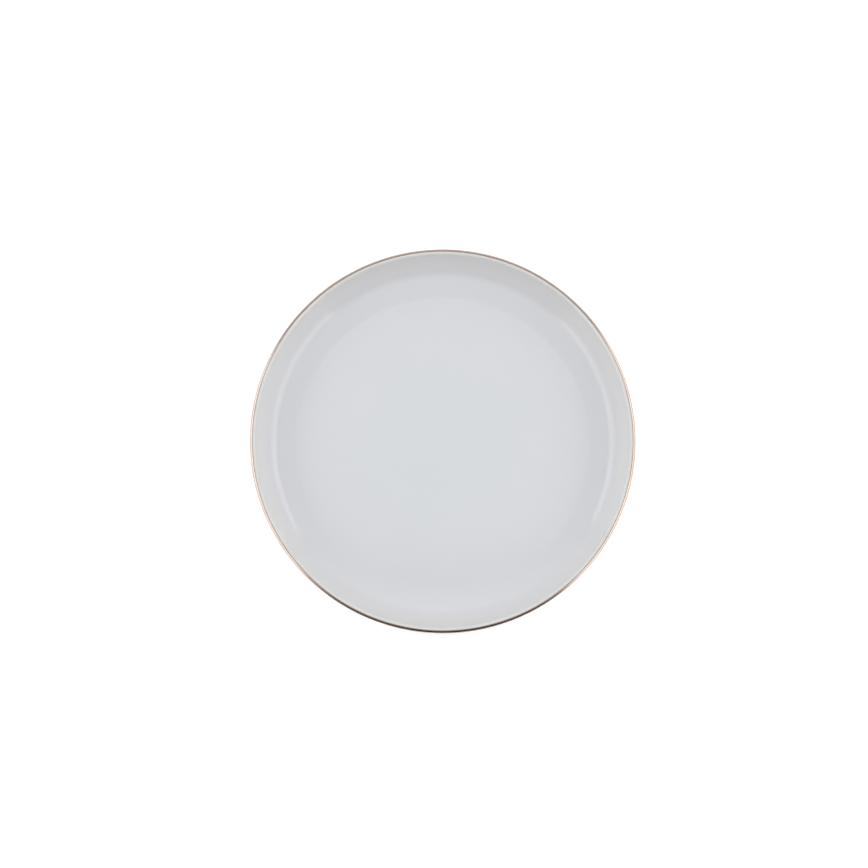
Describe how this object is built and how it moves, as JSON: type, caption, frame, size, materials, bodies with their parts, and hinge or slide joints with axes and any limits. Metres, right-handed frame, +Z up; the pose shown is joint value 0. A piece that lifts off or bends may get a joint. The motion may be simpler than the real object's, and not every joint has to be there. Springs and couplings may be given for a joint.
{
  "type": "dinner plate",
  "caption": "Round coupe dinner plate in glazed white porcelain, with a flat floor, steep curved wall, foot ring and a rose-gold lustre band on its lip.",
  "frame": {"origin": "on the plate's axis, in the plane of the foot ring's standing face", "axes": "+Z up along the plate's axis of turning, out of the food face; +X and +Y are any two level directions, as the plate is round"},
  "size_m": [0.27, 0.27, 0.0288],
  "materials": {
    "bisque": "unglazed fired porcelain, fine and matt",
    "glaze": "clear gloss glaze over white porcelain",
    "lustre": "polished rose-gold lustre"
  },
  "bodies": {
    "root": {"body": "bisque", "glaze_coat": "glaze", "base_glaze": "glaze", "rim_band": "lustre"}
  },
  "joints": []
}
